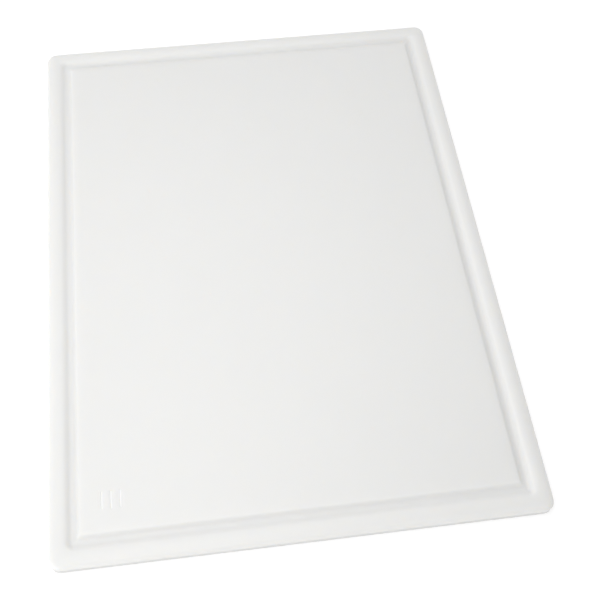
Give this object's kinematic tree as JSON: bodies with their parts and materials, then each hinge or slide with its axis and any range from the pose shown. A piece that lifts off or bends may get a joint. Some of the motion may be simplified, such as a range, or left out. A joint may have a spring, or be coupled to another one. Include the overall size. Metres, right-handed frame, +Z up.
{
  "type": "cutting board",
  "caption": "Rectangular white plastic cutting board with rounded edges and a juice groove all round its flat cutting surface.",
  "frame": {"origin": "middle of the underside, on the surface that the board lies on", "axes": "+X across the short side, +Y along the long side away from the user, +Z up out of the cutting surface"},
  "size_m": [0.381, 0.508, 0.0127],
  "materials": {
    "white_polyethylene": "fine matt pebble, slightly translucent"
  },
  "bodies": {
    "root": {"board_slab": "white_polyethylene"}
  },
  "joints": []
}
